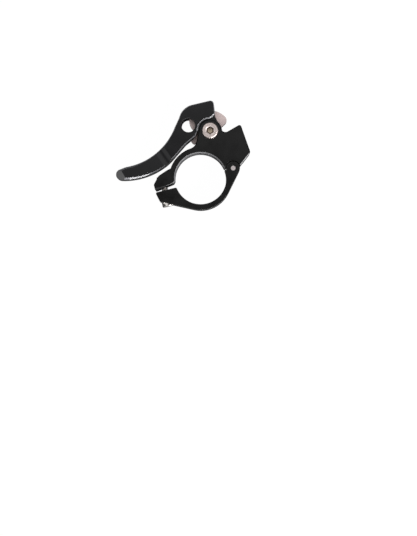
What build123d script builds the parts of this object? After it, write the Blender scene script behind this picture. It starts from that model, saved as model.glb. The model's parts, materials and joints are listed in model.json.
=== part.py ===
from build123d import *
from math import cos, radians, sin, tan
import os

os.makedirs("parts", exist_ok=True)

# Remote lever for a dropper seat post: a hinged clamp for a 22.2 mm handlebar, with a thumb lever
# that turns on a pivot parallel to the bar and winds a cable round a drum.
#
# The origin is at the centre of the clamp's bore. +Z is along the bar, +X and +Y are right and up
# with the part lying on its back face. All sizes are in millimetres and degrees.

# Bar clamp
BORE_R = 11.1          # radius of the handlebar's grip area
CLAMP_W = 12.0         # width of the clamp along the bar
BODY_WALL = 2.6        # ring wall of the fixed half
STRAP_WALL = 2.45      # ring wall of the hinged half
EDGE = 0.35            # broken edge round the fixed half's flat faces
STRAP_EDGE = 0.12      # broken edge of the hinged half

# Hinge of the strap
HINGE_REACH = 3.7      # from the bore's wall to the hinge pin
HINGE_ANGLE = 17.7     # direction of the hinge pin from the bore's centre
KNUCKLE_R = 2.9        # hinge knuckles
KNUCKLE_W = 4.0        # width of the body's middle knuckle
PIN_R = 1.0            # hinge pin
GAP = 0.4              # radial room round a knuckle
SIDE_GAP = 0.1         # room at each side of a knuckle

# Clamp screw, in a frame of its own: "out" from the bore's centre, "along" towards the nut
SCREW_REACH = 5.1      # from the bore's wall to the screw's axis
SCREW_ANGLE = 193.9    # direction of "out"
SCREW_R = 1.5          # M3 thread
SCREW_HEAD_R = 2.75
SCREW_HEAD_H = 3.0
SCREW_SEAT = -5.1      # where the head seats in the strap
SCREW_LENGTH = 10.0
SCREW_HEX = 2.5        # key size
STRAP_FACE = -1.2      # strap's face at the gap
BODY_FACE = 0.2        # body's face at the gap, on the screw's axis
BODY_FACE_TILT = 7.6   # slope of that face against the strap's
BOSS_REACH = 9.2       # from the bore's wall to the end of the clamp's bosses
BOSS_TOP = 5.5         # top of the body's boss
BOSS_NOSE = 3.2        # depth of the slope that leads up to it
BOSS_FLAT = 1.2        # how far the top reaches past the screw's axis
BOSS_ROOT = (2.4, 1.4)  # where the top meets the ring, out from the bore's wall and above the top
BOSS_ROOT_FILLET = 6.0
BOSS_TOP_FILLET = 2.0
BOSS_NOSE_FILLET = 1.2
GAP_FILLET = 0.5       # outer end of the body's face at the gap
GAP_EASE = 0.8         # inner ends of both faces
STRAP_CORNER_R = 0.7   # corners of the strap's boss
STRAP_BOSS_FOOT = -5.6  # lower corner of the strap's boss
SWING_ROOM = 0.9       # room for the screw in the strap's hole as the strap swings
SEAT_ROOM = 0.25       # radial room round the screw's head
SCREW_HEAD_EDGE = 0.25
NUT_R = 2.0            # press-in nut
NUT_RIM_R = 2.35
NUT_RIM_H = 0.8
NUT_TOP = 5.3
NUT_SETBACK = 1.0      # from the body's face at the gap to the nut's end

# Lever pivot
PIVOT_X = 4.1
PIVOT_RISE = 9.6       # from the bore's wall up to the pivot
EAR_R = 4.8            # pivot ears of the body
EAR_T = 2.05           # thickness of an ear
NECK_SPREAD = 1.6      # how much the ears widen where they meet the ring
NECK_FILLET = 4.0
EAR_ROOM = 0.5         # radial room round an ear, in the lever
LUG_ROOM = 0.9         # radial room round the lever's lugs, in the body
DRUM_ROOM = 0.3        # radial room round the drum, in the body
SLOT_ROOM = 0.25       # room at each side of the drum, in the body
AXLE_R = 2.5           # sleeve nut that the lever turns on
AXLE_RIM_R = 3.6
AXLE_RIM_H = 1.0
PIVOT_SCREW_R = 1.5
PIVOT_HEAD_R = 3.5
PIVOT_HEAD_H = 1.7
PIVOT_HEX = 3.0
AXLE_SLOT = (1.2, 0.6)  # screwdriver slot in its rim, width and depth
PIVOT_HEAD_WALL = 0.8  # straight wall of the pivot screw's head
PIVOT_FLAT_R = 2.6     # flat top of that head, inside its slope
PIVOT_TIP_ROOM = 0.5   # from the screw's end to the blind end of the axle's thread
RUN = 0.05             # radial running clearance
LOOSE = 0.15           # radial clearance of a screw's hole
PRESS = 0.01           # radial clearance drawn at a press fit

# Cable block
NOTCH_DEPTH = 4.1      # from the pivot down to the plane of the stop face
NOTCH_SLOPE = 30.0     # slope of the stop face
NOTCH_FILLET = 2.0
SLOPE_LENGTH = 12.8
BLOCK_TOP_FILLET = 0.9
BLOCK_SIDE_FILLET = 1.5
BLOCK_REACH = 7.5      # from the hinge pin out to the block's side corner
BLOCK_RISE = 6.8       # from the hinge pin up to that corner
CABLE_ANGLE = -66.4    # direction in which the cable leaves the drum
SOCKET_R = 1.8         # socket for the guide tube
SOCKET_DEPTH = 6.0
CABLE_HOLE_R = 0.9
CABLE_R = 0.55         # radius of the cable that lies in the drum's groove

# Lever
HEAD_HALF = 5.2        # half thickness of head and arm
PADDLE_HALF = 5.75     # half thickness of the thumb paddle at its tip
LEVER_EDGE = 0.35      # broken edge of head and arm, which widens along the paddle
SCOOP_START = (-17.9, -10.0)  # scoop across the faces between arm and paddle, from the pivot
SCOOP_ANGLE = 215.0    # direction of the arm there
SCOOP_LENGTH = 4.6
SCOOP_DEPTH = 0.45
PADDLE_LENGTH = 23.0   # from the scoop's start to the tip
BEVEL_START = (-37.4, -18.8)  # bevel at the paddle's tip, from the pivot
BEVEL_ANGLE = 209.0
BEVEL_SLOPE = 40.0
NOSE_CUT = ((-0.5, 5.2), (0.9, 6.0), (1.9, 7.2), (4.0, 7.2), (5.2, 0), (0, 0))  # relief by the ears
RECESS_EDGE = 0.55     # width of the bevel round the ears' room in the lever's faces
RECESS_SLOPE = 26.0    # slope of that bevel
LUG_T = 1.8            # thickness of a lug
LUG_R = 5.2
BUSH_WALL = 0.6
BUSH_FLANGE_T = 0.4
BUSH_FLANGE_R = 4.3
BARREL_REACH = 9.7     # from the pivot to the barrel hole
BARREL_ANGLE = 165.7
BARREL_R = 3.0
BARREL_CHAMFER = 0.3

# Cable drum
DRUM_R = 9.2
DRUM_T = 3.0
DRUM_HUB_R = 4.5
DRUM_NOSE_FILLET = 2.2
DRUM_BACK_FILLET = 0.8
DRUM_TIP_FILLET = 0.6
LEVER_SLOT_R = 11.3    # the drum's slot in the lever
HOLE_ROOM = 0.3        # how far the slot passes round the barrel hole
STOP_LEFT = 228.0      # stop block for the drum in the body's slot, between these directions
STOP_RIGHT = 283.0
SHIM_T = 0.15
SHIM_R = 4.0
SEAT_ANGLE = 188.0     # barrel seat of the drum, as it lies without its barrel
GROOVE_DEPTH = 1.1     # cable groove
GROOVE_W = 1.5         # its width at the rim
GROOVE_FLOOR = 1.0     # its width at the bottom
SEAT_SIDE_ROOM = 0.1   # radial room in the barrel's seat

# Places worked out from the sizes above
HALF_W = CLAMP_W / 2
EAR_IN = HALF_W - EAR_T
DRUM_HALF = DRUM_T / 2
LUG_IN = DRUM_HALF + SHIM_T + RUN
LUG_OUT = LUG_IN + LUG_T
PIVOT = Vector(PIVOT_X, BORE_R + PIVOT_RISE)
SCREW_OUT = BORE_R + SCREW_REACH
BOSS_END = BORE_R + BOSS_REACH


def polar(radius, angle):
    return Vector(radius * cos(radians(angle)), radius * sin(radians(angle)))


def at_pivot(x, y):
    return PIVOT + Vector(x, y)


def at_screw(out, along):
    return polar(out, SCREW_ANGLE) + polar(along, SCREW_ANGLE - 90)


HINGE = polar(BORE_R + HINGE_REACH, HINGE_ANGLE)
SCREW_AXIS = polar(1, SCREW_ANGLE - 90)
SEAT = polar(BARREL_REACH, SEAT_ANGLE)
BARREL = PIVOT + polar(BARREL_REACH, BARREL_ANGLE)
FAR = 40.0             # past the part's outline, for the cutting shapes


def screw_plane(along, out=SCREW_OUT):
    # A plane across the clamp screw, with its X outwards from the bore
    return Plane(origin=at_screw(out, along), x_dir=polar(1, SCREW_ANGLE), z_dir=SCREW_AXIS)


def nearest(shape, point):
    return shape.vertices().sort_by_distance(point)[0]


# Fixed half of the clamp
def gap_face(out):
    # The body's face at the gap, which closes slightly towards the end of the boss
    slope = sin(radians(BODY_FACE_TILT))
    return at_screw(out, BODY_FACE + (SCREW_OUT - out) * slope)


def cross(a, b):
    return a.X * b.Y - a.Y * b.X


ring_r = BORE_R + BODY_WALL
slope_foot = PIVOT + polar(NOTCH_DEPTH, NOTCH_SLOPE - 90)
block_top = slope_foot + polar(SLOPE_LENGTH, NOTCH_SLOPE)
block_side = HINGE + Vector(BLOCK_REACH, BLOCK_RISE)
bevel_foot = HINGE + Vector(KNUCKLE_R, KNUCKLE_R / 3)
neck_x = PIVOT_X - EAR_R - NECK_SPREAD
neck = Vector(neck_x, (ring_r ** 2 - neck_x ** 2) ** 0.5)
boss_corner = at_screw(BOSS_END, BOSS_TOP - BOSS_NOSE)
boss_shoulder = at_screw(SCREW_OUT + BOSS_FLAT, BOSS_TOP)
boss_root = at_screw(BORE_R + BOSS_ROOT[0], BOSS_TOP + BOSS_ROOT[1])

# The cable leaves the drum's groove on a tangent and runs straight to the block's bevel
cable_dir = polar(1, CABLE_ANGLE)
cable_start = PIVOT + polar(DRUM_R - GROOVE_DEPTH + CABLE_R, CABLE_ANGLE + 90)
bevel = block_side - bevel_foot
mouth = cross(block_side - cable_start, bevel) / cross(cable_dir, bevel)
socket_floor = Plane(origin=cable_start + cable_dir * (mouth - SOCKET_DEPTH), z_dir=cable_dir)

with BuildPart() as clamp_body:
    with BuildSketch() as body_profile:
        Circle(ring_r)
        with BuildLine():
            Polyline(bevel_foot, block_side, block_top, slope_foot, PIVOT, at_pivot(-EAR_R, 0), neck,
                     Vector(neck.X, 0), Vector(HINGE.X, 0), close=True)
        make_face()
        with Locations(PIVOT):
            Circle(EAR_R)
        with BuildLine():
            Polyline(gap_face(BOSS_END), boss_corner, boss_shoulder, boss_root,
                     at_screw(BORE_R - BODY_WALL, BOSS_TOP + BODY_WALL), gap_face(BORE_R - BODY_WALL),
                     close=True)
        make_face()
        with BuildLine():
            Polyline((0, 0), gap_face(BORE_R / 2), gap_face(FAR), (-FAR, -FAR), (FAR, -FAR),
                     (FAR, HINGE.Y), (0, HINGE.Y), close=True)
        make_face(mode=Mode.SUBTRACT)
        Circle(BORE_R, mode=Mode.SUBTRACT)
        fillet(nearest(body_profile, block_top), BLOCK_TOP_FILLET)
        fillet(nearest(body_profile, block_side), BLOCK_SIDE_FILLET)
        fillet(nearest(body_profile, PIVOT + polar(EAR_R, -25)), NOTCH_FILLET)
        fillet(nearest(body_profile, neck), NECK_FILLET)
        fillet(nearest(body_profile, boss_root), BOSS_ROOT_FILLET)
        fillet(nearest(body_profile, boss_shoulder), BOSS_TOP_FILLET)
        fillet(nearest(body_profile, boss_corner), BOSS_NOSE_FILLET)
        fillet(nearest(body_profile, gap_face(BOSS_END)), GAP_FILLET)
        chamfer(nearest(body_profile, gap_face(BORE_R)), GAP_EASE)
    extrude(amount=HALF_W, both=True)
    flats = clamp_body.faces().filter_by(Axis.Z)
    chamfer(flats.edges(), EDGE)

    # Middle knuckle of the hinge, and room for the strap's outer ones
    with BuildSketch():
        with Locations(HINGE):
            Circle(KNUCKLE_R)
    extrude(amount=KNUCKLE_W / 2, both=True)
    with BuildSketch(Plane.XY.offset(KNUCKLE_W / 2), Plane.XY.offset(-HALF_W)):
        with Locations(HINGE):
            Circle(KNUCKLE_R + GAP)
    extrude(amount=HALF_W - KNUCKLE_W / 2, mode=Mode.SUBTRACT)
    with Locations(HINGE):
        Hole(PIN_R + PRESS)

    # Slot between the ears for the lever's lugs, and a narrower one for the drum, with a stop in it
    with BuildSketch():
        with Locations(PIVOT):
            Circle(LUG_R + LUG_ROOM)
    extrude(amount=EAR_IN, both=True, mode=Mode.SUBTRACT)
    with BuildSketch():
        with Locations(PIVOT):
            Circle(DRUM_R + DRUM_ROOM)
        with BuildLine():
            Polyline(PIVOT, PIVOT + polar(FAR, STOP_LEFT), PIVOT + polar(FAR, (STOP_LEFT + STOP_RIGHT) / 2),
                     PIVOT + polar(FAR, STOP_RIGHT), close=True)
        make_face(mode=Mode.SUBTRACT)
    extrude(amount=DRUM_HALF + SLOT_ROOM, both=True, mode=Mode.SUBTRACT)

    # Pivot hole, with a seat for the axle's rim at the back
    with Locations(PIVOT):
        Hole(AXLE_R + PRESS)
    with BuildSketch(Plane.XY.offset(-HALF_W)):
        with Locations(PIVOT):
            Circle(AXLE_RIM_R + PRESS)
    extrude(amount=AXLE_RIM_H, mode=Mode.SUBTRACT)

    # Socket for the guide tube in the bevel, and the cable's hole on to the drum
    with BuildSketch(socket_floor):
        Circle(SOCKET_R)
    extrude(amount=2 * SOCKET_DEPTH, mode=Mode.SUBTRACT)
    with BuildSketch(socket_floor):
        Circle(CABLE_HOLE_R)
    extrude(amount=SOCKET_DEPTH - mouth, mode=Mode.SUBTRACT)

    # Hole for the clamp nut, spot-faced for its rim
    with BuildSketch(screw_plane(NUT_TOP)):
        Circle(NUT_R + PRESS)
    extrude(amount=2 * SCREW_SEAT, mode=Mode.SUBTRACT)
    with BuildSketch(screw_plane(NUT_TOP - NUT_RIM_H)):
        Circle(NUT_RIM_R + LOOSE)
    extrude(amount=SCREW_LENGTH, mode=Mode.SUBTRACT)

# Hinged half of the clamp
strap_r = BORE_R + STRAP_WALL
strap_end = at_screw(BOSS_END - STRAP_CORNER_R, STRAP_FACE - STRAP_CORNER_R)
strap_foot = at_screw(BOSS_END - 2 * STRAP_CORNER_R, STRAP_BOSS_FOOT + STRAP_CORNER_R)
parting_y = HINGE.Y - KNUCKLE_R / 4

with BuildPart() as clamp_strap:
    with BuildSketch() as strap_profile:
        Circle(strap_r)
        with Locations(HINGE):
            Circle(KNUCKLE_R)
        with Locations(strap_end, strap_foot):
            Circle(STRAP_CORNER_R)
        make_hull()
        with BuildLine():
            Polyline((0, 0), at_screw(BORE_R / 2, STRAP_FACE), at_screw(FAR, STRAP_FACE), (-FAR, FAR),
                     (FAR, FAR), (FAR, parting_y), (BORE_R - STRAP_WALL, parting_y), close=True)
        make_face(mode=Mode.SUBTRACT)
        with Locations(HINGE):
            Circle(KNUCKLE_R)
        Circle(BORE_R, mode=Mode.SUBTRACT)
        fillet(nearest(strap_profile, at_screw(BORE_R, STRAP_FACE)), GAP_EASE)
    extrude(amount=HALF_W, both=True)
    flats = clamp_strap.faces().filter_by(Axis.Z)
    chamfer(flats.edges(), STRAP_EDGE)

    # Room for the body's knuckle
    with BuildSketch():
        with Locations(HINGE):
            Circle(KNUCKLE_R + GAP)
    extrude(amount=KNUCKLE_W / 2 + SIDE_GAP, both=True, mode=Mode.SUBTRACT)
    with Locations(HINGE):
        Hole(PIN_R + RUN)

    # Hole for the screw, long enough for the strap to swing, and a milled seat open at the end
    with BuildSketch(screw_plane(SCREW_SEAT, SCREW_OUT + SWING_ROOM / 2)):
        SlotOverall(2 * (SCREW_R + LOOSE) + SWING_ROOM, 2 * (SCREW_R + LOOSE))
    extrude(amount=SCREW_LENGTH, mode=Mode.SUBTRACT)
    seat_r = SCREW_HEAD_R + SEAT_ROOM
    with BuildSketch(screw_plane(SCREW_SEAT, SCREW_OUT + BOSS_REACH / 2)):
        SlotOverall(2 * seat_r + BOSS_REACH, 2 * seat_r)
    extrude(amount=-SCREW_LENGTH, mode=Mode.SUBTRACT)

# Hinge pin
pin_end = HALF_W - 2 * RUN
with BuildPart() as hinge_pin:
    with BuildSketch():
        with Locations(HINGE):
            Circle(PIN_R)
    extrude(amount=pin_end, both=True)

# Clamp nut: a round press-in nut with a thin rim
with BuildPart() as clamp_nut:
    with BuildSketch(screw_plane(BODY_FACE + NUT_SETBACK)):
        Circle(NUT_R)
    extrude(amount=NUT_TOP - BODY_FACE - NUT_SETBACK)
    with BuildSketch(screw_plane(NUT_TOP - NUT_RIM_H)):
        Circle(NUT_RIM_R)
    extrude(amount=NUT_RIM_H)
    with BuildSketch(screw_plane(NUT_TOP)):
        Circle(SCREW_R + RUN)
    extrude(amount=-NUT_TOP, mode=Mode.SUBTRACT)

# Clamp screw
with BuildPart() as clamp_screw:
    with BuildSketch(screw_plane(SCREW_SEAT)):
        Circle(SCREW_R)
    extrude(amount=SCREW_LENGTH)
    with BuildSketch(screw_plane(SCREW_SEAT - SCREW_HEAD_H)):
        Circle(SCREW_HEAD_R)
    extrude(amount=SCREW_HEAD_H)
    head_end = clamp_screw.faces().filter_by(Plane(origin=(0, 0, 0), z_dir=SCREW_AXIS)).sort_by(Axis.Y)[0]
    chamfer(head_end.edges(), SCREW_HEAD_EDGE)
    with BuildSketch(screw_plane(SCREW_SEAT - SCREW_HEAD_H)):
        RegularPolygon(SCREW_HEX / 2, 6, major_radius=False)
    extrude(amount=SCREW_HEAD_H / 2, mode=Mode.SUBTRACT)

# Pivot axle: a sleeve nut with a thin rim, slotted at the back
axle_back = -HALF_W + RUN
with BuildPart() as pivot_axle:
    with BuildSketch(Plane.XY.offset(axle_back)):
        with Locations(PIVOT):
            Circle(AXLE_RIM_R)
    extrude(amount=AXLE_RIM_H - RUN)
    with BuildSketch(Plane.XY.offset(axle_back)):
        with Locations(PIVOT):
            Circle(AXLE_R)
    extrude(amount=CLAMP_W - 2 * RUN)
    with BuildSketch(Plane.XY.offset(-EAR_IN)):
        with Locations(PIVOT):
            Circle(PIVOT_SCREW_R + RUN)
    extrude(amount=CLAMP_W, mode=Mode.SUBTRACT)
    with BuildSketch(Plane.XY.offset(axle_back)):
        with Locations(PIVOT):
            Rectangle(4 * AXLE_RIM_R, AXLE_SLOT[0])
    extrude(amount=AXLE_SLOT[1], mode=Mode.SUBTRACT)

# Pivot screw: a low button head with a hexagon socket
with BuildPart() as pivot_screw:
    with BuildSketch(Plane(origin=PIVOT + Vector(0, 0, HALF_W), x_dir=(1, 0, 0), z_dir=(0, -1, 0))):
        with BuildLine():
            Polyline((0, 0), (PIVOT_HEAD_R, 0), (PIVOT_HEAD_R, PIVOT_HEAD_WALL),
                     (PIVOT_FLAT_R, PIVOT_HEAD_H), (0, PIVOT_HEAD_H), close=True)
        make_face()
    revolve(axis=Axis(PIVOT, (0, 0, 1)))
    with BuildSketch(Plane.XY.offset(-EAR_IN + PIVOT_TIP_ROOM)):
        with Locations(PIVOT):
            Circle(PIVOT_SCREW_R)
    extrude(amount=HALF_W + EAR_IN - PIVOT_TIP_ROOM)
    with BuildSketch(Plane.XY.offset(HALF_W + PIVOT_HEAD_H)):
        with Locations(PIVOT):
            RegularPolygon(PIVOT_HEX / 2, 6, major_radius=False)
    extrude(amount=-0.8 * PIVOT_HEAD_H, mode=Mode.SUBTRACT)

# Thumb lever
scoop_plane = Plane(origin=at_pivot(*SCOOP_START), x_dir=polar(1, SCOOP_ANGLE), z_dir=polar(1, SCOOP_ANGLE - 90))
bevel_plane = Plane(origin=at_pivot(*BEVEL_START), x_dir=polar(1, BEVEL_ANGLE), z_dir=polar(1, BEVEL_ANGLE - 90))
bevel_drop = PADDLE_HALF * tan(radians(BEVEL_SLOPE))
head_back = BARREL + Vector(1.8, 8.9)
head_round = BARREL + Vector(-2.2, 6.6)
head_left = BARREL + Vector(-4.0, 3.2)
arm_start = BARREL + Vector(-5.9, -0.9)
arm_bow = at_pivot(-23.0, -9.4)
tip_start = at_pivot(-36.5, -15.7)
tip_top = at_pivot(-39.2, -16.8)
tip_end = at_pivot(-40.8, -19.2)
tip_low = at_pivot(-38.3, -21.2)
paddle_bow = at_pivot(-28.3, -19.7)
paddle_start = at_pivot(-17.3, -13.4)
elbow = at_pivot(-10.6, -5.6)
throat = at_pivot(-6.4, -2.2)
throat_end = at_pivot(-5.2, 0.4)
nose_end = at_pivot(3.4, 3.9)
nose = at_pivot(2.1, 6.4)
nose_bow = at_pivot(1.9, 9.6)
head_corner = at_pivot(1.3, 13.4)

with BuildPart() as lever:
    with BuildSketch() as lever_profile:
        with BuildLine():
            Line(head_corner, head_back)
            ThreePointArc(head_back, head_round, head_left)
            Line(head_left, arm_start)
            ThreePointArc(arm_start, arm_bow, tip_start)
            Line(tip_start, tip_top)
            ThreePointArc(tip_top, tip_end, tip_low)
            ThreePointArc(tip_low, paddle_bow, paddle_start)
            Polyline(paddle_start, elbow, throat, throat_end, PIVOT, nose_end, nose)
            ThreePointArc(nose, nose_bow, head_corner)
        make_face()
        for corner, radius in ((head_corner, 1.5), (head_back, 20), (head_left, 8), (arm_start, 20),
                               (tip_start, 6), (tip_top, 2), (tip_low, 2.2), (paddle_start, 20),
                               (elbow, 8), (throat, 2), (nose, 2)):
            fillet(nearest(lever_profile, corner), radius)
    extrude(amount=PADDLE_HALF, both=True)
    chamfer(lever.faces().filter_by(Axis.Z).edges(), PADDLE_HALF - HEAD_HALF + LEVER_EDGE)

    # Both faces drop to the head's thickness, with a scoop where the arm meets the paddle
    with BuildSketch(scoop_plane):
        with BuildLine():
            Line((-FAR, HEAD_HALF), (0, HEAD_HALF))
            ThreePointArc((0, HEAD_HALF), (SCOOP_LENGTH / 2, HEAD_HALF - SCOOP_DEPTH),
                          (SCOOP_LENGTH, HEAD_HALF - SCOOP_DEPTH / 4))
            Polyline((SCOOP_LENGTH, HEAD_HALF - SCOOP_DEPTH / 4), (PADDLE_LENGTH, PADDLE_HALF),
                     (PADDLE_LENGTH, 2 * PADDLE_HALF), (-FAR, 2 * PADDLE_HALF), (-FAR, HEAD_HALF))
        make_face()
        mirror(about=Plane.XZ)
    extrude(amount=FAR, both=True, mode=Mode.SUBTRACT)
    with BuildSketch(bevel_plane):
        with BuildLine():
            Polyline((0, PADDLE_HALF), (PADDLE_HALF, PADDLE_HALF - bevel_drop),
                     (PADDLE_HALF, 2 * PADDLE_HALF), (0, 2 * PADDLE_HALF), close=True)
        make_face()
        mirror(about=Plane.XZ)
    extrude(amount=PADDLE_HALF, both=True, mode=Mode.SUBTRACT)

    # Lugs that go between the body's ears, and room for the ears themselves
    with BuildSketch():
        with Locations(PIVOT):
            Circle(LUG_R)
    extrude(amount=LUG_OUT, both=True)
    with BuildSketch(Plane.XY.offset(LUG_OUT), Plane.XY.offset(-PADDLE_HALF)):
        with Locations(PIVOT):
            Circle(EAR_R + EAR_ROOM)
            Polygon(*NOSE_CUT, align=None)
    extrude(amount=PADDLE_HALF - LUG_OUT, mode=Mode.SUBTRACT)
    for face in (1, -1):
        with BuildSketch(Plane.XY.offset(face * (HEAD_HALF + RUN * tan(radians(RECESS_SLOPE))))):
            with Locations(PIVOT):
                Circle(EAR_R + EAR_ROOM)
                Polygon(*NOSE_CUT, align=None)
            offset(amount=RECESS_EDGE + RUN)
        recess_depth = (RECESS_EDGE + RUN) * tan(radians(RECESS_SLOPE))
        extrude(amount=-face * recess_depth, taper=90 - RECESS_SLOPE, mode=Mode.SUBTRACT)

    # Slot for the drum, bush holes and the hole for the cable's barrel
    with BuildSketch():
        with Locations(PIVOT):
            Circle(LEVER_SLOT_R)
        with Locations(BARREL):
            Circle(BARREL_R + HOLE_ROOM)
    extrude(amount=LUG_IN, both=True, mode=Mode.SUBTRACT)
    with Locations(PIVOT):
        Hole(AXLE_R + RUN + BUSH_WALL + PRESS)
    with Locations(BARREL):
        Hole(BARREL_R)
    barrel_rims = lever.edges().filter_by(
        lambda edge: edge.geom_type == GeomType.CIRCLE and abs(edge.radius - BARREL_R) < RUN
        and abs(abs(edge.center().Z) - HEAD_HALF) < RUN)
    chamfer(barrel_rims, BARREL_CHAMFER)

# Flanged bushes, one in each lug
for label, face in (("lever_bush_front", 1), ("lever_bush_rear", -1)):
    with BuildPart() as bush:
        with BuildSketch(Plane.XY.offset(face * LUG_IN)):
            with Locations(PIVOT):
                Circle(AXLE_R + RUN + BUSH_WALL)
        extrude(amount=face * LUG_T)
        with BuildSketch(Plane.XY.offset(face * LUG_OUT)):
            with Locations(PIVOT):
                Circle(BUSH_FLANGE_R)
        extrude(amount=face * BUSH_FLANGE_T)
        with Locations(PIVOT):
            Hole(AXLE_R + RUN)
    bush.part.label = label
    export_step(bush.part, "parts/" + label + ".step")

# Cable drum
hub_cut = DRUM_HUB_R - 0.2
drum_nose = PIVOT + polar(DRUM_R, 30)
drum_top = PIVOT + polar(DRUM_R, 120)
drum_back = at_pivot(-9.2, 5.5)
drum_tip = PIVOT + polar(DRUM_R - 0.4, 219)
seat_lead = PIVOT + SEAT + Vector(0.5, 5.8)
seat_bow = PIVOT + SEAT + Vector(1.1, 3.6)
seat_lip = PIVOT + SEAT + polar(BARREL_R, 43)
seat_end = PIVOT + polar(DRUM_R, 205)
with BuildPart() as cable_drum:
    with BuildSketch() as drum_profile:
        with Locations(PIVOT):
            Circle(DRUM_HUB_R)
        with BuildLine():
            ThreePointArc(drum_nose, PIVOT + polar(DRUM_R, 75), drum_top)
            Polyline(drum_top, drum_back, seat_lead)
            ThreePointArc(seat_lead, seat_bow, seat_lip)
            Polyline(seat_lip, PIVOT + SEAT, seat_end)
            ThreePointArc(seat_end, PIVOT + polar(DRUM_R, 212), drum_tip)
            Polyline(drum_tip, PIVOT + polar(hub_cut, 226), PIVOT, PIVOT + polar(hub_cut, 16), drum_nose)
        make_face()
        with Locations(PIVOT + SEAT):
            Circle(BARREL_R + SEAT_SIDE_ROOM, mode=Mode.SUBTRACT)
        with Locations(PIVOT):
            Circle(AXLE_R + RUN, mode=Mode.SUBTRACT)
        fillet(nearest(drum_profile, drum_nose), DRUM_NOSE_FILLET)
        fillet(nearest(drum_profile, drum_back), DRUM_BACK_FILLET)
        fillet(nearest(drum_profile, drum_tip), DRUM_TIP_FILLET)
    extrude(amount=DRUM_HALF, both=True)
    with BuildSketch(Plane(origin=PIVOT, x_dir=(1, 0, 0), z_dir=(0, -1, 0))):
        with BuildLine():
            Polyline((DRUM_R - GROOVE_DEPTH, GROOVE_FLOOR / 2), (DRUM_R + RUN, GROOVE_W / 2),
                     (DRUM_R + RUN, -GROOVE_W / 2), (DRUM_R - GROOVE_DEPTH, -GROOVE_FLOOR / 2), close=True)
        make_face()
    revolve(axis=Axis(PIVOT, (0, 0, 1)), mode=Mode.SUBTRACT)

# Thin shims each side of the drum
for label, face in (("drum_shim_front", 1), ("drum_shim_rear", -1)):
    with BuildPart() as shim:
        with BuildSketch(Plane.XY.offset(face * DRUM_HALF)):
            with Locations(PIVOT):
                Circle(SHIM_R)
                Circle(AXLE_R + RUN, mode=Mode.SUBTRACT)
        extrude(amount=face * SHIM_T)
    shim.part.label = label
    export_step(shim.part, "parts/" + label + ".step")

pieces = {
    "clamp_body": clamp_body,
    "clamp_strap": clamp_strap,
    "hinge_pin": hinge_pin,
    "clamp_nut": clamp_nut,
    "clamp_screw": clamp_screw,
    "pivot_axle": pivot_axle,
    "pivot_screw": pivot_screw,
    "lever": lever,
    "cable_drum": cable_drum,
}
for label, piece in pieces.items():
    piece.part.label = label
    export_step(piece.part, "parts/" + label + ".step")
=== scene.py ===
# %% [markdown]
# # A thumb lever on a hinged bar clamp
#
# The object is a small mechanism from a bicycle: a black clamp that closes round the handlebar, and a
# thumb lever that turns on a screw beside it. It was photographed from straight above, lying on its
# back on white. Every solid already exists as an exact model, so this lesson is about finish: it loads
# the solids, gives each surface the material it really has, and remodels the few small pieces whose
# fine shape the solids leave out, such as a thread, a knurl and a hexagon socket.

import json
import math

import bpy
from mathutils import Matrix, Vector


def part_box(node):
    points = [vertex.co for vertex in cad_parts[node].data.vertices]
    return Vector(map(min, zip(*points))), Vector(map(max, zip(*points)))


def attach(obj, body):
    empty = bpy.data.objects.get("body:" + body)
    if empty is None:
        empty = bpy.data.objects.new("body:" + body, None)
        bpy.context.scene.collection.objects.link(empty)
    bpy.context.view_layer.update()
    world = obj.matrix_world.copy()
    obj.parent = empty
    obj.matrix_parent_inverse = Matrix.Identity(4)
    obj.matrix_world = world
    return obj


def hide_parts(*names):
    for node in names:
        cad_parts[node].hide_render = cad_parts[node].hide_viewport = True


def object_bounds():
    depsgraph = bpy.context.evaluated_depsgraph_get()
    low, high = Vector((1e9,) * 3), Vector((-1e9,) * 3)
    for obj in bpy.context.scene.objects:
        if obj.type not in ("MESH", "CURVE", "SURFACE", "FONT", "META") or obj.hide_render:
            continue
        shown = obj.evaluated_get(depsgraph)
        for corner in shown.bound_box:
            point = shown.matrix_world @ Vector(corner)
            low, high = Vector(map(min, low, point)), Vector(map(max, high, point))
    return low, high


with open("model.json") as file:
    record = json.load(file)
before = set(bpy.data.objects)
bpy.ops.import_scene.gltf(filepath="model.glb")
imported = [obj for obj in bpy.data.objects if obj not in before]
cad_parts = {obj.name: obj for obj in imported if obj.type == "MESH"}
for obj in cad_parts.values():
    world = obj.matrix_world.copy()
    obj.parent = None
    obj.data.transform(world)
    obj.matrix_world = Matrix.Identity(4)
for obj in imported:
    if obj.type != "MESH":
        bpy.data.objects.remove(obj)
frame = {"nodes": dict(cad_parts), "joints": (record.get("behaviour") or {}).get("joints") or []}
cad_low, cad_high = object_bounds()
MM = 0.001
print("nodes", sorted(frame["nodes"]))
print("size in mm", [round(v / MM, 1) for v in cad_high - cad_low])

# %% [markdown]
# The pieces that get remodelled need to know where they go. Those places are read from the model, so
# they can't drift from it: the pivot is the lever's joint, and the clamp screw's line is the joint
# along which it backs out. The middle of a screw's end face is the mean of the points that lie
# furthest along its axis, each counted once.

# %% Places that the model gives
NEAR_MM = 0.01
joints = {joint["name"]: joint for joint in frame["joints"]}
pivot = Vector(joints["lever_pivot"]["pos_m"])
hinge = Vector(joints["strap_hinge"]["pos_m"])
up = Vector((0, 0, 1))
screw_up = -Vector(joints["clamp_screw_travel"]["axis"]).normalized()
floor_z = cad_low.z


def end_middle(node, direction):
    points = {tuple(round(v, 7) for v in vertex.co) for vertex in frame["nodes"][node].data.vertices}
    points = [Vector(point) for point in points]
    reach = max(point.dot(direction) for point in points)
    face = [point for point in points if point.dot(direction) > reach - NEAR_MM * MM]
    return sum(face, Vector()) / len(face)


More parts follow.
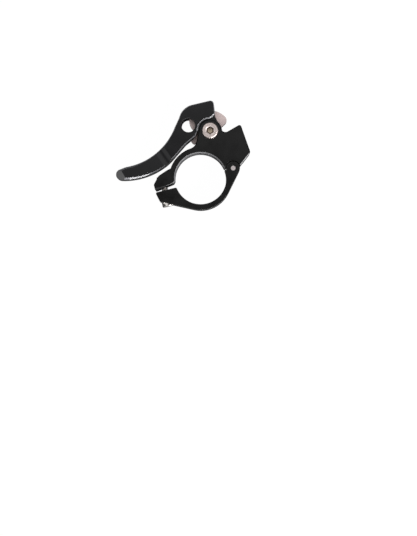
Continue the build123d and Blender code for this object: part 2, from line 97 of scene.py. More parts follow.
screw_base = end_middle("clamp_screw", -screw_up)
screw_tip = end_middle("clamp_screw", screw_up)
nut_top = end_middle("clamp_nut", screw_up)
nut_end = end_middle("clamp_nut", -screw_up)
head_top = end_middle("pivot_screw", up)
pivot_tip = end_middle("pivot_screw", -up)
print("pivot in mm", [round(v / MM, 2) for v in pivot])
print("clamp screw in mm", round((screw_tip - screw_base).length / MM, 2))
print("clamp nut in mm", round((nut_top - nut_end).length / MM, 2))
print("pivot screw in mm", round((head_top - pivot_tip).length / MM, 2))

# %% [markdown]
# ## Camera
#
# The photograph shows the faces square on and only thin slivers of the walls, so the camera looked
# straight down from about 600 mm. The bore is 22.2 mm across and spans 51.4 pixels, which gives the
# scale, and the bore's centre falls at pixel (200.6, 178.5). From these three facts the camera's place
# and its focal length follow, with no guessing by eye.

# %% Camera
IMAGE_W = 417
IMAGE_H = 536
BORE_PX = 51.4
BORE_CENTRE_PX = (200.6, 178.5)
BORE_MM = 22.2
CAMERA_MM = 600.0
SENSOR_MM = 36.0
NEAREST_M = 0.01

front_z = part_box("clamp_body")[1].z
mm_per_px = BORE_MM / BORE_PX
camera_data = bpy.data.cameras.new("camera")
camera = bpy.data.objects.new("camera", camera_data)
bpy.context.scene.collection.objects.link(camera)
camera.location = ((IMAGE_W / 2 - BORE_CENTRE_PX[0]) * mm_per_px * MM,
                   (BORE_CENTRE_PX[1] - IMAGE_H / 2) * mm_per_px * MM,
                   front_z + CAMERA_MM * MM)
camera_data.sensor_width = SENSOR_MM
camera_data.lens = SENSOR_MM * CAMERA_MM / (IMAGE_H * mm_per_px)
camera_data.clip_start = NEAREST_M
bpy.context.scene.camera = camera
bpy.context.scene.view_settings.view_transform = "Standard"
print("lens in mm", round(camera_data.lens, 1), "scale in mm per pixel", round(mm_per_px, 3))

# %% [markdown]
# ## A few tools for materials
#
# A colour picked from a screen is an sRGB value, and a shader wants linear light, so one function
# turns one into the other. A second one adds a node with its settings and its links in one go. The
# short ones after it do a sum, a mix, a change of range, and the distance from an upright line, so
# that a material further down reads like a sentence.

# %% Colour and node helpers


def colour(hex_code):
    channels = [int(hex_code[i:i + 2], 16) / 255 for i in (1, 3, 5)]
    linear = [c / 12.92 if c <= 0.04045 else ((c + 0.055) / 1.055) ** 2.4 for c in channels]
    return (*linear, 1.0)


def add(tree, kind, links=None, **settings):
    # settings in lower case are the node's own, and links fill its sockets by name or number
    node = tree.nodes.new(kind)
    for name, value in settings.items():
        setattr(node, name, value)
    for socket, source in (links or {}).items():
        if isinstance(source, bpy.types.NodeSocket):
            tree.links.new(source, node.inputs[socket])
        else:
            node.inputs[socket].default_value = source
    return node


def maths(tree, operation, *values, clamp=False):
    node = add(tree, "ShaderNodeMath", dict(enumerate(values)), operation=operation, use_clamp=clamp)
    return node.outputs[0]


def vector_maths(tree, operation, *values):
    node = add(tree, "ShaderNodeVectorMath", dict(enumerate(values)), operation=operation)
    return node.outputs["Value" if operation in ("LENGTH", "DOT_PRODUCT") else "Vector"]


def mix_values(tree, share, first, second):
    return add(tree, "ShaderNodeMix", {0: share, 2: first, 3: second}).outputs[0]


def mix_colours(tree, share, first, second):
    return add(tree, "ShaderNodeMix", {0: share, 6: first, 7: second}, data_type="RGBA").outputs[2]


def remap(tree, value, given=(0.0, 1.0), wanted=(0.0, 1.0), kind="LINEAR"):
    sockets = {"Value": value, "From Min": given[0], "From Max": given[1],
               "To Min": wanted[0], "To Max": wanted[1]}
    return add(tree, "ShaderNodeMapRange", sockets, interpolation_type=kind).outputs["Result"]


def off_axis(tree, place, centre):
    # how far each point lies from the upright line through the centre
    aside = vector_maths(tree, "SUBTRACT", place, centre)
    return vector_maths(tree, "LENGTH", vector_maths(tree, "MULTIPLY", aside, (1.0, 1.0, 0.0)))


print("a screen's mid grey in linear light", round(colour("#808080")[0], 3))

# %% [markdown]
# Two more tools work in real sizes. A pattern's scale counts cells in a metre, so a size in
# millimetres is turned into that first. A roughness that wanders keeps a surface from looking like
# plastic, and since a noise seldom leaves the middle of its range, only that part is used. A bump's
# depth is real too, which keeps a fine grain fine. The last two tools make a material and dress the
# pieces of the model in it.

# %% Pattern and material helpers
NOISE_SPAN = (0.3, 0.7)


def cells(size_mm):
    return 1 / (size_mm * MM)


def noise(tree, size_mm, detail):
    place = add(tree, "ShaderNodeTexCoord").outputs["Object"]
    sockets = {"Vector": place, "Scale": cells(size_mm), "Detail": detail}
    return add(tree, "ShaderNodeTexNoise", sockets).outputs["Fac"]


def uneven(tree, shader, size_mm, detail, roughness, span=NOISE_SPAN):
    # the roughness wanders between two values over that size, and the noise behind it is returned
    height = noise(tree, size_mm, detail)
    tree.links.new(remap(tree, height, span, roughness), shader.inputs["Roughness"])
    return height


def bumps(tree, shader, height, strength, depth_mm):
    bump = add(tree, "ShaderNodeBump", {"Height": height, "Strength": strength, "Distance": depth_mm * MM})
    tree.links.new(bump.outputs["Normal"], shader.inputs["Normal"])
    return bump


def new_material(name, **sockets):
    material = bpy.data.materials.new(name)
    material.use_nodes = True
    shader = material.node_tree.nodes["Principled BSDF"]
    for socket, value in sockets.items():
        shader.inputs[socket.replace("_", " ")].default_value = value
    return material, material.node_tree, shader


def dress(material, *nodes):
    for node in nodes:
        slots = frame["nodes"][node].data.materials
        slots.clear()
        slots.append(material)
    print(material.name, "on", ", ".join(nodes))


print("a pattern of 1 mm has the scale", round(cells(1.0)))

# %% [markdown]
# ## Black anodised aluminium
#
# The clamp and the lever are machined from aluminium bar, blasted with fine beads and anodised black.
# The dye leaves almost no diffuse light, and what the eye reads as its tone is a soft, weak mirror
# image of the room in the clear oxide on top. So the base is nearly black, the metal underneath
# doesn't show, and the gloss is broken up twice: by the grain of the blasting, drawn coarser than its
# real 0.05 mm so that it shows, and by slow changes in the film over some millimetres. Tumbling has
# rounded every sharp edge a little: a Bevel node turns the normals over that radius, so that each edge
# catches a thin line of light, which no sharp edge of a plain solid does. The strap has no cut
# chamfer and is rounded further, so its edges stay soft and dim.

# %% Anodised finish
CLAMP_BLACK = "#070707"
LEVER_BLACK = "#0a0a0d"
CLAMP_ROUGHNESS = 0.18
LEVER_ROUGHNESS = 0.17
FILM_MM = 5.0
FILM_SPREAD = 0.05
OXIDE_IOR = 1.5
OXIDE_LEVEL = 0.4
BLAST_MM = 0.1
BLAST_DEPTH_MM = 0.02
GRAIN = 0.1
TUMBLED_MM = 0.07
STRAP_TUMBLED_MM = 0.3


def anodised(name, base, roughness, tumbled_mm=TUMBLED_MM):
    material, tree, shader = new_material(name, Base_Color=colour(base), Metallic=0.0, IOR=OXIDE_IOR,
                                          Specular_IOR_Level=OXIDE_LEVEL)
    uneven(tree, shader, size_mm=FILM_MM, detail=3.0,
           roughness=(roughness - FILM_SPREAD, roughness + FILM_SPREAD))
    blast = noise(tree, size_mm=BLAST_MM, detail=2.0)
    bump = bumps(tree, shader, blast, strength=GRAIN, depth_mm=BLAST_DEPTH_MM)
    edges = add(tree, "ShaderNodeBevel", {"Radius": tumbled_mm * MM}, samples=6)
    tree.links.new(edges.outputs["Normal"], bump.inputs["Normal"])
    return material


anodised_clamp = anodised("anodised_clamp", CLAMP_BLACK, CLAMP_ROUGHNESS, STRAP_TUMBLED_MM)
anodised_lever = anodised("anodised_lever_painted_edge_light", LEVER_BLACK, LEVER_ROUGHNESS)
dress(anodised_clamp, "clamp_strap")

# %% [markdown]
# The lever's chamfers and the bevel round its pivot are left smooth, without the grain, and get a
# paler grey than the black: painted highlight, which stands in for the bright lines along these edges
# and gleams more where the lamps reach it. The normal's own Z tells how far a face leans, and a colour
# ramp over it gives each lean its tone: the chamfers lie at 45 degrees and the bevel at 26. The hole
# for the cable's barrel is the other way about, rough and dull, and is found by its distance from the axis.

# %% Cut edges with painted highlight, and barrel hole of the lever
# the two greys below are painted highlight on the chamfers and the bevel, not a colour of the metal
CHAMFER_PAINTED_HIGHLIGHT = "#7a7a7e"
BEVEL_PAINTED_HIGHLIGHT = "#b0b0b4"
FLAT_FROM = 0.91
# each row is the normal's Z from which a tone holds, the tone, and 1 where the face is cut, gets the
# painted highlight and loses the grain
PAINTED_EDGE_TONES = ((0.0, LEVER_BLACK, 0), (0.5, CHAMFER_PAINTED_HIGHLIGHT, 1), (0.74, LEVER_BLACK, 0),
             (0.85, BEVEL_PAINTED_HIGHLIGHT, 1), (FLAT_FROM, LEVER_BLACK, 0))
BARREL_HOLE = Vector((-5.3, 23.1, 0.0)) * MM
BARREL_RIM_MM = 3.7
DULL_HOLE = 0.6
tree = anodised_lever.node_tree
shader = tree.nodes["Principled BSDF"]
satin = shader.inputs["Roughness"].links[0].from_socket
spot = add(tree, "ShaderNodeTexCoord")
lean = add(tree, "ShaderNodeSeparateXYZ", {"Vector": spot.outputs["Normal"]}).outputs["Z"]
lean = maths(tree, "ABSOLUTE", lean)
steep = maths(tree, "LESS_THAN", lean, FLAT_FROM)
tones = add(tree, "ShaderNodeValToRGB", {"Fac": lean})
ramp = tones.color_ramp
ramp.interpolation = "CONSTANT"
ramp.elements.remove(ramp.elements[1])
for at, hex_code, is_cut in PAINTED_EDGE_TONES:
    stop = ramp.elements[0] if at == 0 else ramp.elements.new(at)
    stop.color = (*colour(hex_code)[:3], is_cut)
reach = off_axis(tree, spot.outputs["Object"], BARREL_HOLE)
plain = maths(tree, "GREATER_THAN", reach, BARREL_RIM_MM * MM)
cut = maths(tree, "MULTIPLY", tones.outputs["Alpha"], plain)
tone = mix_colours(tree, cut, colour(LEVER_BLACK), tones.outputs["Color"])
dull = mix_values(tree, steep, satin, DULL_HOLE)
tree.links.new(tone, shader.inputs["Base Color"])
tree.links.new(mix_values(tree, plain, dull, satin), shader.inputs["Roughness"])
tree.links.new(remap(tree, cut, wanted=(GRAIN, 0.0)), tree.nodes["Bump"].inputs["Strength"])
dress(anodised_lever, "lever")

# %% [markdown]
# The body has the same finish, but its bore is left rough from the tool, so that it grips the bar,
# and is given a soft grey base with no sharp reflection: a painted reflection of the white ground,
# which the bore's wall mirrors at a grazing angle. The bore's axis is the origin's Z, so a point
# belongs to the bore when it lies nearer to that axis than the rim of its chamfer.
# The gap is sawn, so its face and edge are as rough, but black. It ends a set way below the nut.

# %% Rough bore with painted reflection, and sawn gap of the body
# the grey below is a painted reflection of the white ground in the bore's wall
BORE_PAINTED_REFLECTION = "#747476"
BORE_RIM_MM = 11.5
ROUGH_CUT = 0.6
SAWN_BELOW_NUT_MM = 0.55
BOSS_X_MM = -8.0
anodised_body = anodised("anodised_body_rough_bore", CLAMP_BLACK, CLAMP_ROUGHNESS)
tree = anodised_body.node_tree
shader = tree.nodes["Principled BSDF"]
satin = shader.inputs["Roughness"].links[0].from_socket
place = add(tree, "ShaderNodeTexCoord").outputs["Object"]
bored = maths(tree, "LESS_THAN", off_axis(tree, place, (0.0, 0.0, 0.0)), BORE_RIM_MM * MM)
tone = mix_colours(tree, bored, colour(CLAMP_BLACK), colour(BORE_PAINTED_REFLECTION))
sawn_up_to = nut_end.dot(screw_up) - SAWN_BELOW_NUT_MM * MM
low_down = maths(tree, "LESS_THAN", vector_maths(tree, "DOT_PRODUCT", place, screw_up), sawn_up_to)
across = add(tree, "ShaderNodeSeparateXYZ", {"Vector": place}).outputs["X"]
in_boss = maths(tree, "LESS_THAN", across, BOSS_X_MM * MM)
coarse = maths(tree, "MAXIMUM", bored, maths(tree, "MULTIPLY", low_down, in_boss))
tree.links.new(tone, shader.inputs["Base Color"])
tree.links.new(mix_values(tree, coarse, satin, ROUGH_CUT), shader.inputs["Roughness"])
dress(anodised_body, "clamp_body")

# %% [markdown]
# ## Bead blasted drum
#
# The drum is bare metal with a dull, faintly warm surface: blasted, so that it scatters what it
# mirrors, and not plated or polished. It is a full metal with a high roughness and a grain. Down in
# the lever's slot its colour is painted darker, as painted shade: an Ambient Occlusion node tells
# how open each point is, and the metal outside the slot keeps its own colour.

# %% Drum
DRUM_OWN_TONE = "#c9bab8"
# the dark colour below is painted shade, which the Ambient Occlusion node lays on the drum down in the
# lever's slot
DRUM_PAINTED_SHADE = "#3c332c"
OPEN_MM = 4.0
SHADE_TO_OPEN_SPAN = (0.1, 0.5)
drum_metal, tree, shader = new_material("blasted_drum", Base_Color=colour(DRUM_OWN_TONE), Metallic=1.0)
openness = add(tree, "ShaderNodeAmbientOcclusion", {"Distance": OPEN_MM * MM}, samples=8)
unshaded_share = remap(tree, openness.outputs["AO"], SHADE_TO_OPEN_SPAN)
tone = mix_colours(tree, unshaded_share, colour(DRUM_PAINTED_SHADE), colour(DRUM_OWN_TONE))
tree.links.new(tone, shader.inputs["Base Color"])
grain = uneven(tree, shader, size_mm=0.2, detail=3.0, roughness=(0.52, 0.66))
bumps(tree, shader, grain, strength=0.35, depth_mm=BLAST_DEPTH_MM)
dress(drum_metal, "cable_drum")

# %% [markdown]
# ## Turned steel
#
# Screws, the axle and the pin are turned on a lathe, and the tool leaves fine rings about their axis.
# The rings stretch a highlight across the face like a record's. A wave texture in rings makes them:
# a Mapping node puts its centre on the screw's own axis, so each piece has its own. At a scale of 1
# the wave runs through 20 radians in a metre, which is taken out again to get rings of a real width.

# %% Turned finish
TURN_MM = 0.18
WAVE_RADIANS = 20


def turned(name, base, roughness, centre, along):
    material, tree, shader = new_material(name, Base_Color=colour(base), Metallic=1.0)
    place = add(tree, "ShaderNodeTexCoord").outputs["Object"]
    turn = along.to_track_quat("Z", "Y").inverted().to_matrix().to_4x4() @ Matrix.Translation(-centre)
    mapped = add(tree, "ShaderNodeMapping",
                 {"Vector": place, "Location": turn.to_translation(), "Rotation": turn.to_euler()})
    sockets = {"Vector": mapped.outputs["Vector"], "Scale": cells(TURN_MM) * math.tau / WAVE_RADIANS,
               "Distortion": 0.6, "Detail": 1.0}
    rings = add(tree, "ShaderNodeTexWave", sockets, wave_type="RINGS", rings_direction="Z").outputs["Fac"]
    rough = remap(tree, rings, wanted=(roughness - 0.06, roughness + 0.08))
    tree.links.new(rough, shader.inputs["Roughness"])
    bumps(tree, shader, rings, strength=0.4, depth_mm=0.01)
    return material


turned_pivot = turned("turned_steel_pivot", "#c2b6b2", 0.38, pivot, up)
turned_pin = turned("turned_steel_pin", "#c4bcbc", 0.34, hinge, up)
turned_screw = turned("turned_steel_screw", "#dcd8d4", 0.24, screw_base, screw_up)
dress(turned_pivot, "pivot_axle", "drum_shim_front", "drum_shim_rear")
dress(turned_pin, "hinge_pin")

# %% [markdown]
# ## Black oxide and sliding polymer
#
# The clamp nut is steel with a thin black oxide: dark, but still a metal. The two bushes inside the
# lever's lugs are a filled plastic, dull and dark grey, of which only the flange's edge can be seen.

# %% Nut and bushes
black_oxide, tree, shader = new_material("black_oxide_steel", Base_Color=colour("#56524f"), Metallic=1.0)
uneven(tree, shader, size_mm=0.6, detail=4.0, roughness=(0.3, 0.5))

bush_polymer, tree, shader = new_material("filled_polymer", Base_Color=colour("#3a3733"), Metallic=0.0)
uneven(tree, shader, size_mm=0.12, detail=2.0, roughness=(0.5, 0.7), span=(0.0, 1.0))
dress(bush_polymer, "lever_bush_front", "lever_bush_rear")

# %% [markdown]
# ## How the small steel pieces are modelled
#
# A turned piece could be spun from its outline, but a screw also has a hexagon in one end and a knurl
# on its side, which a spin can't give. So each one is built ring by ring: a circle is the first ring,
# and every step extrudes the loop that is selected, moves it along the axis and makes it wider or
# narrower. Between two steps some of its points can be picked by their place and changed, which is
# how a round bar gets its flutes. Everything is made upright at the origin and put in place at the end.

# %% Ring by ring
RING_SIDES = 96


def first_ring(name, radius, height):
    bpy.ops.object.select_all(action="DESELECT")
    bpy.ops.mesh.primitive_circle_add(vertices=RING_SIDES, radius=radius * MM, location=(0, 0, height * MM))
    piece = bpy.context.object
    piece.name = name
    bpy.ops.object.transform_apply(location=True, rotation=True, scale=True)
    bpy.ops.object.mode_set(mode="EDIT")
    bpy.ops.mesh.select_mode(type="VERT")
    bpy.ops.mesh.select_all(action="SELECT")
    return piece


def widen(ratio):
    bpy.ops.transform.resize(value=(ratio, ratio, 1), center_override=(0, 0, 0))


def more_rings(radius, height, *steps):
    # each step is the next ring's radius and height in mm
    for next_radius, next_height in steps:
        bpy.ops.mesh.extrude_region_move(
            TRANSFORM_OT_translate={"value": (0, 0, (next_height - height) * MM)})
        widen(next_radius / radius)
        radius, height = next_radius, next_height


def pick(piece, wanted):
    # selects the points whose radius, angle and height, in mm and degrees, are the wanted ones
    bpy.ops.mesh.select_all(action="DESELECT")
    bpy.ops.object.mode_set(mode="OBJECT")
    for vertex in piece.data.vertices:
        x, y, z = (v / MM for v in vertex.co)
        vertex.select = wanted(math.hypot(x, y), math.degrees(math.atan2(y, x)), z)
    bpy.ops.object.mode_set(mode="EDIT")


print("a ring has", RING_SIDES, "points")

# %% [markdown]
# Flutes come from drawing in every second point of a ring, and letting it out again at the other end.
# A hexagon socket starts with a hexagon inside the round rim. The two loops are bridged, which makes
# the lead-in for the key, and the hexagon is extruded down to its floor. The drill that went before
# the punch leaves a shallow cone in the middle.

# %% Flutes and hexagon socket
RUN_OUT_MM = 0.12
DRILL_SHARE = 0.6
CONE_TIP_SHARE = 0.1
CONE_MM = 0.3


def flutes(piece, radius, depth, start, end):
    run_out = RUN_OUT_MM if end > start else -RUN_OUT_MM
    step = 360 / RING_SIDES
    drawn_in = 1 - depth / radius
    more_rings(radius, start, (radius, start + run_out))
    pick(piece, lambda r, a, z: abs(z - start - run_out) < NEAR_MM and round(a / step) % 2)
    widen(drawn_in)
    pick(piece, lambda r, a, z: abs(z - start - run_out) < NEAR_MM)
    more_rings(radius, start + run_out, (radius, end - run_out), (radius, end))
    pick(piece, lambda r, a, z: abs(z - end) < NEAR_MM and round(a / step) % 2)
    widen(1 / drawn_in)
    pick(piece, lambda r, a, z: abs(z - end) < NEAR_MM)


def hex_socket(piece, rim, top, across, lead, floor):
    corner = across / 2 / math.cos(math.radians(30))
    bpy.ops.mesh.select_all(action="DESELECT")
    bpy.ops.mesh.primitive_circle_add(vertices=6, radius=corner * MM, location=(0, 0, lead * MM))
    pick(piece, lambda r, a, z: abs(z - top) < NEAR_MM and abs(r - rim) < NEAR_MM
         or abs(z - lead) < NEAR_MM and abs(r - corner) < NEAR_MM)
    bpy.ops.mesh.bridge_edge_loops()
    pick(piece, lambda r, a, z: abs(z - lead) < NEAR_MM and abs(r - corner) < NEAR_MM)
    cone = CONE_MM if floor > lead else -CONE_MM
    more_rings(corner, lead, (corner, floor), (corner * DRILL_SHARE, floor),
               (corner * CONE_TIP_SHARE, floor + cone))
    bpy.ops.mesh.merge(type="CENTER")


print("flutes run out over", RUN_OUT_MM, "mm")

# %% [markdown]
# The last tool closes a piece: it merges the points that meet, turns all faces outwards, puts the
# mesh in its place and shades it smooth except at real edges. The piece is then tied to the body that
# it moves with, and it takes the place of the plain solid.

# %% Finish a piece
MERGE_MM = 0.001
SMOOTH_DEG = 32


def finish_piece(piece, place, direction, node, body):
    bpy.ops.mesh.select_all(action="SELECT")
    bpy.ops.mesh.remove_doubles(threshold=MERGE_MM * MM)
    bpy.ops.mesh.normals_make_consistent(inside=False)
    bpy.ops.object.mode_set(mode="OBJECT")
    piece.matrix_world = Matrix.Translation(place) @ direction.to_track_quat("Z", "Y").to_matrix().to_4x4()
    bpy.ops.object.select_all(action="DESELECT")
    piece.select_set(True)
    bpy.context.view_layer.objects.active = piece
    bpy.ops.object.transform_apply(location=True, rotation=True, scale=True)
    bpy.ops.object.shade_smooth_by_angle(angle=math.radians(SMOOTH_DEG))
    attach(piece, body)
    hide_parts(node)
    print(piece.name, len(piece.data.polygons), "faces")


print("edges stay sharp over", SMOOTH_DEG, "degrees")

# %% [markdown]
# ## Clamp screw
#
# An M3 socket head screw closes the clamp. Its head is knurled with straight flutes for the fingers,
# has a chamfered rim, and a hexagon for a 2.5 mm key. Its thread shows in the gap between the bosses.
# A thread is a ridge that climbs by one pitch a turn, so a flat four-sided outline of one ridge is
# drawn beside the axis and the Screw modifier winds it up the core: a true helix, not stacked rings.

# %% Clamp screw: head, core and socket
HEAD_R = 2.75
HEAD_H = 3.0
FLUTED = (0.32, 2.75)
FLUTE_DEPTH = 0.09
CORE_R = 1.2
SCREW_KEY = 2.5
KEY_RIM_R = 1.66
KEY_LEAD = 0.16
KEY_FLOOR = 1.5
screw_length = (screw_tip - screw_base).length / MM
clamp_screw = first_ring("clamp_screw_threaded", KEY_RIM_R, 0.0)
more_rings(KEY_RIM_R, 0.0, (2.45, 0.0), (2.66, 0.1), (HEAD_R, FLUTED[0]))
flutes(clamp_screw, HEAD_R, FLUTE_DEPTH, *FLUTED)
more_rings(HEAD_R, FLUTED[1], (2.68, 2.93), (2.58, HEAD_H), (1.5, HEAD_H), (1.3, HEAD_H + 0.08),
           (CORE_R, HEAD_H + 0.25), (CORE_R, screw_length - 0.3), (0.9, screw_length))
bpy.ops.mesh.edge_face_add()
hex_socket(clamp_screw, KEY_RIM_R, 0.0, SCREW_KEY, KEY_LEAD, KEY_FLOOR)
bpy.ops.object.mode_set(mode="OBJECT")
print("head and core", len(clamp_screw.data.polygons), "faces")

# %% [markdown]
# The ridge starts as a plane, which has just the four corners it needs. It is stood upright, set beside
# the axis, and its two outer corners are drawn together to the flat of the crest.

# %% Clamp screw: one ridge
PITCH = 0.5
CREST_R = 1.48
ROOT_IN = 1.14
ROOT_SHARE = 0.88
CREST_SHARE = 0.16
THREAD_START = HEAD_H + 0.35
bpy.ops.object.select_all(action="DESELECT")
bpy.ops.mesh.primitive_plane_add(size=1 * MM, location=(0, 0, 0))
thread = bpy.context.object
thread.name = "thread"
bpy.ops.object.mode_set(mode="EDIT")
bpy.ops.mesh.delete(type="ONLY_FACE")
bpy.ops.mesh.select_all(action="SELECT")
bpy.ops.transform.rotate(value=math.radians(90), orient_axis="X", center_override=(0, 0, 0))
bpy.ops.transform.resize(value=(CREST_R - ROOT_IN, 1, ROOT_SHARE * PITCH), center_override=(0, 0, 0))
bpy.ops.transform.translate(value=((CREST_R + ROOT_IN) / 2 * MM, 0, THREAD_START * MM))
pick(thread, lambda r, a, z: r > (CREST_R + ROOT_IN) / 2)
bpy.ops.transform.resize(value=(1, 1, CREST_SHARE), center_override=(0, 0, THREAD_START * MM))
bpy.ops.object.mode_set(mode="OBJECT")
print("ridge stands out", round(CREST_R - CORE_R, 2), "mm from the core")

# %% [markdown]
# The modifier winds the outline round the Z axis, one pitch up for each turn, and stops a little short
# of the screw's end, as a cut thread does. Its two ends stay open, so they are filled.

# %% Clamp screw: thread
THREAD_SHORT = 0.4
STEPS_A_TURN = 40
turns = int((screw_length - THREAD_START - THREAD_SHORT) / PITCH)
winding = thread.modifiers.new("winding", "SCREW")
winding.axis = "Z"
winding.angle = math.tau
winding.screw_offset = PITCH * MM
winding.steps = winding.render_steps = STEPS_A_TURN
winding.iterations = turns
winding.use_merge_vertices = False
bpy.ops.object.modifier_apply(modifier=winding.name)
bpy.ops.object.mode_set(mode="EDIT")
bpy.ops.mesh.select_all(action="SELECT")
bpy.ops.mesh.fill_holes(sides=4)
bpy.ops.object.mode_set(mode="OBJECT")
print("turns", turns)

# %% [markdown]
# The foot of the ridge lies just inside the core, so that the two can be joined as they are and no gap
# shows between them.

# %% Clamp screw: join
clamp_screw.select_set(True)
bpy.context.view_layer.objects.active = clamp_screw
bpy.ops.object.join()
clamp_screw.data.materials.append(turned_screw)
bpy.ops.object.mode_set(mode="EDIT")
finish_piece(clamp_screw, screw_base, screw_up, "clamp_screw", "screw")

# %% [markdown]
# ## Clamp nut
#
# The screw goes into a round nut that is pressed into the boss. Its rim stays outside and is serrated
# so that it can't turn. The last ring lands on the first, and merging the two closes the tube.

# %% Clamp nut
MOUTH_R = 1.72
NUT_BORE_R = 1.55
NUT_SHANK_R = 2.0
SERRATED_R = 2.33
SERRATION = 0.1
nut_length = (nut_top - nut_end).length / MM
serrated = (nut_length - 0.08, nut_length - 0.72)
under_rim = nut_length - 0.8
clamp_nut = first_ring("clamp_nut_serrated", MOUTH_R, nut_length)
more_rings(MOUTH_R, nut_length, (2.2, nut_length), (SERRATED_R, serrated[0]))
flutes(clamp_nut, SERRATED_R, SERRATION, *serrated)
more_rings(SERRATED_R, serrated[1], (2.28, under_rim), (NUT_SHANK_R, under_rim), (NUT_SHANK_R, 0.15),
           (1.85, 0.0), (1.7, 0.0), (NUT_BORE_R, 0.15), (NUT_BORE_R, nut_length - 0.17),
           (MOUTH_R, nut_length))
finish_piece(clamp_nut, nut_end, screw_up, "clamp_nut", "clamp")
clamp_nut.data.materials.append(black_oxide)

# %% [markdown]
# ## Pivot screw
#
# The lever turns on a sleeve held by this low, wide screw. Down in its hexagon the steel is not turned
# but formed by a punch, and the walls, the mouth and the outer floor are painted dark brown: painted
# shade, as the walls cast it into the socket. The drill that went first left a shallow cone in the
# middle of the floor, which keeps a lighter steel colour. So the walls and the cone have each a colour
# of their own.

# %% Painted shade and drilled steel of the socket


def steel_for_socket(name, base):
    material, tree, shader = new_material(name, Base_Color=colour(base), Metallic=1.0)
    uneven(tree, shader, size_mm=0.5, detail=3.0, roughness=(0.2, 0.4))
    return material


# the dark brown below is painted shade, the walls' own shade down in the socket
painted_socket_shade = steel_for_socket("painted_shade_socket_steel", "#5e5046")
drilled = steel_for_socket("drilled_steel_floor", "#aa9c8a")
print("made", painted_socket_shade.name, "and", drilled.name)

# %% [markdown]
# The screw's face is turned flat, its rim is rounded over in four steps, and its hexagon for a 3 mm key
# has a countersunk mouth. The shank ends in a small chamfer and stays plain, because its thread is out
# of sight in the sleeve. Two picks by radius hand out the colours: first the painted shade to all that
# lies inside the mouth's slope, then the lighter steel to the cone alone.

# %% Pivot screw
PIVOT_HEAD_R = 3.5
PIVOT_HEAD_H = 1.7
PIVOT_KEY = 3.0
COUNTERSINK_R = 1.98
COUNTERSINK = 0.18
FLOOR_ABOVE_SEAT = 0.35
SOCKET_SHADE_R = 1.9
DRILLED_R = 1.1
SHANK_R = 1.5
pivot_length = (head_top - pivot_tip).length / MM
seat = pivot_length - PIVOT_HEAD_H
pivot_screw = first_ring("pivot_screw_turned", COUNTERSINK_R, pivot_length)
more_rings(COUNTERSINK_R, pivot_length, (2.95, pivot_length), (3.14, pivot_length - 0.05),
           (3.3, pivot_length - 0.2), (3.43, pivot_length - 0.5), (PIVOT_HEAD_R, pivot_length - 0.9),
           (PIVOT_HEAD_R, seat + 0.08), (3.42, seat), (SHANK_R, seat), (SHANK_R, 0.3), (1.2, 0.0))
bpy.ops.mesh.edge_face_add()
hex_socket(pivot_screw, COUNTERSINK_R, pivot_length, PIVOT_KEY, pivot_length - COUNTERSINK,
           seat + FLOOR_ABOVE_SEAT)
for metal in (turned_pivot, painted_socket_shade, drilled):
    pivot_screw.data.materials.append(metal)
for index, within in ((1, SOCKET_SHADE_R), (2, DRILLED_R)):
    pick(pivot_screw, lambda r, a, z: r < within and z > seat)
    pivot_screw.active_material_index = index
    bpy.ops.object.material_slot_assign()
finish_piece(pivot_screw, pivot_tip, up, "pivot_screw", "clamp")

# %% [markdown]
# ## White ground and studio light
#
# The photograph's ground is pure white. A lamp bright enough to burn it out would also wash out the
# black metal, so the white belongs to the ground itself: to the camera most of it glows, at a
# strength just over 1, and the rest is lit as usual, which keeps the object's soft shadow. In a
# reflection the ground is nearly dark, since close beside the metal it lies in the metal's own shade.

# %% Ground
GROUND_M = 3.0
PAPER = "#f2f2f2"
WHITE = (1, 1, 1, 1)
GLOW_SHARE = 0.95
GROUND_GLOW = 1.04
MIRRORED_GROUND = 0.08
bpy.ops.mesh.primitive_plane_add(size=GROUND_M, location=(0, 0, floor_z))
ground = bpy.context.object
ground.name = "ground"
paper = bpy.data.materials.new("white_ground")
paper.use_nodes = True
tree = paper.node_tree
tree.nodes.clear()
rays = add(tree, "ShaderNodeLightPath")
seen = maths(tree, "ADD", rays.outputs["Is Camera Ray"], rays.outputs["Is Glossy Ray"])
seen = maths(tree, "ADD", seen, rays.outputs["Is Transmission Ray"], clamp=True)
level = remap(tree, rays.outputs["Is Glossy Ray"], wanted=(GROUND_GLOW, MIRRORED_GROUND))
lit = add(tree, "ShaderNodeBsdfDiffuse", {"Color": colour(PAPER)})
glow = add(tree, "ShaderNodeEmission", {"Color": WHITE, "Strength": level})
share = maths(tree, "MULTIPLY", seen, GLOW_SHARE)
mixed = add(tree, "ShaderNodeMixShader", {0: share, 1: lit.outputs[0], 2: glow.outputs[0]})
add(tree, "ShaderNodeOutputMaterial", {"Surface": mixed.outputs[0]})
ground.data.materials.append(paper)
print("ground at z in mm", round(floor_z / MM, 2))

# %% [markdown]
# Glossy black shows the room more than its own colour, so the room matters more than the lamps. It
# stands for a light tent: pale cloth all round at half height, with a dark round hole at the top that
# the camera looks through. The flat faces mirror the hole and stay black, the scoop's flanks and the
# rough bare metal see the cloth and turn grey. The hole leans towards the bottom of the picture, so
# the faces at the top of the picture mirror its soft rim and are a little paler than the bosses. Low
# down the tent is bright on one side only, to the right and towards the bottom of the picture, so
# chamfers that face that way shine and the others stay dark.

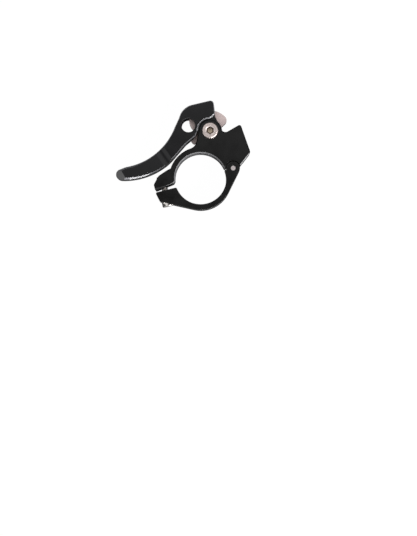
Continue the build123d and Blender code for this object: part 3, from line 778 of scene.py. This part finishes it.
# %% World
PLAIN_LIGHT = 0.2
CLOTH = 1.0
CLOTH_RISES = (0.35, 0.6)
HOLE = 0.02
HOLE_WAY = Vector((0.0, -0.12, 1.0)).normalized()
HOLE_RIM = (0.96, 0.99)
LIGHT_SIDE = Vector((0.45, -0.88, 0.0)).normalized()
SIDE_SPAN = (-0.2, 0.8)
SIDE_LIGHT = (0.04, 0.8)
world = bpy.data.worlds.new("studio")
bpy.context.scene.world = world
world.use_nodes = True
tree = world.node_tree
tree.nodes.clear()
rays = add(tree, "ShaderNodeLightPath")
way = add(tree, "ShaderNodeTexCoord").outputs["Generated"]
height = add(tree, "ShaderNodeSeparateXYZ", {"Vector": way}).outputs["Z"]
lower = remap(tree, height, CLOTH_RISES, kind="SMOOTHSTEP")
upper = vector_maths(tree, "DOT_PRODUCT", way, HOLE_WAY)
upper = remap(tree, upper, HOLE_RIM, (CLOTH, HOLE), kind="SMOOTHSTEP")
side = vector_maths(tree, "DOT_PRODUCT", way, LIGHT_SIDE)
side = remap(tree, side, SIDE_SPAN, SIDE_LIGHT)
room = maths(tree, "MAXIMUM", maths(tree, "MULTIPLY", lower, upper), side)
seen = maths(tree, "ADD", rays.outputs["Is Glossy Ray"], rays.outputs["Is Transmission Ray"], clamp=True)
plain = add(tree, "ShaderNodeBackground", {"Color": WHITE, "Strength": PLAIN_LIGHT})
mirrored = add(tree, "ShaderNodeBackground", {"Color": WHITE, "Strength": room})
white = add(tree, "ShaderNodeBackground", {"Color": WHITE, "Strength": 1.0})
mixed = add(tree, "ShaderNodeMixShader", {0: seen, 1: plain.outputs[0], 2: mirrored.outputs[0]})
mixed = add(tree, "ShaderNodeMixShader",
            {0: rays.outputs["Is Camera Ray"], 1: mixed.outputs[0], 2: white.outputs[0]})
add(tree, "ShaderNodeOutputWorld", {"Surface": mixed.outputs[0]})
print("the hole's soft rim ends", round(math.degrees(math.acos(HOLE_RIM[0]))), "degrees from its middle")

# %% [markdown]
# Four lamps draw the bright lines. A lamp's bearing and height decide which faces it shows in: a
# chamfer of 45 degrees that is seen from above mirrors the horizon, so the long low lamp lights the
# chamfers, and the shallower bevel round the pivot mirrors a point about 40 degrees up, where the
# second lamp stands. The third fills the bevel at the lever's tip, and the last opens the shadows.
# Each is given by its radiance, which is what a reflection of it shows, whatever the lamp's size.

# %% Lamps


def area_lamp(name, bearing, height, reach, width, tall, radiance):
    # bearing is the direction in plan, in degrees, and the lengths are in metres
    data = bpy.data.lights.new(name, "AREA")
    data.shape = "RECTANGLE"
    data.size = width
    data.size_y = tall
    data.energy = radiance * math.pi * width * tall
    lamp = bpy.data.objects.new(name, data)
    angle = math.radians(bearing)
    lamp.location = (reach * math.cos(angle), reach * math.sin(angle), height)
    lamp.rotation_euler = (-lamp.location).to_track_quat("-Z", "Y").to_euler()
    bpy.context.scene.collection.objects.link(lamp)
    print(name, "watts", round(data.energy, 2))


area_lamp("low_key", bearing=-57, height=0.055, reach=0.75, width=0.95, tall=0.11, radiance=17.0)
area_lamp("high_key", bearing=-36, height=0.52, reach=0.6, width=0.8, tall=0.26, radiance=8.0)
area_lamp("tip_light", bearing=-151, height=0.16, reach=0.75, width=0.4, tall=0.3, radiance=2.6)
area_lamp("fill", bearing=135, height=0.6, reach=0.7, width=0.5, tall=0.5, radiance=1.0)
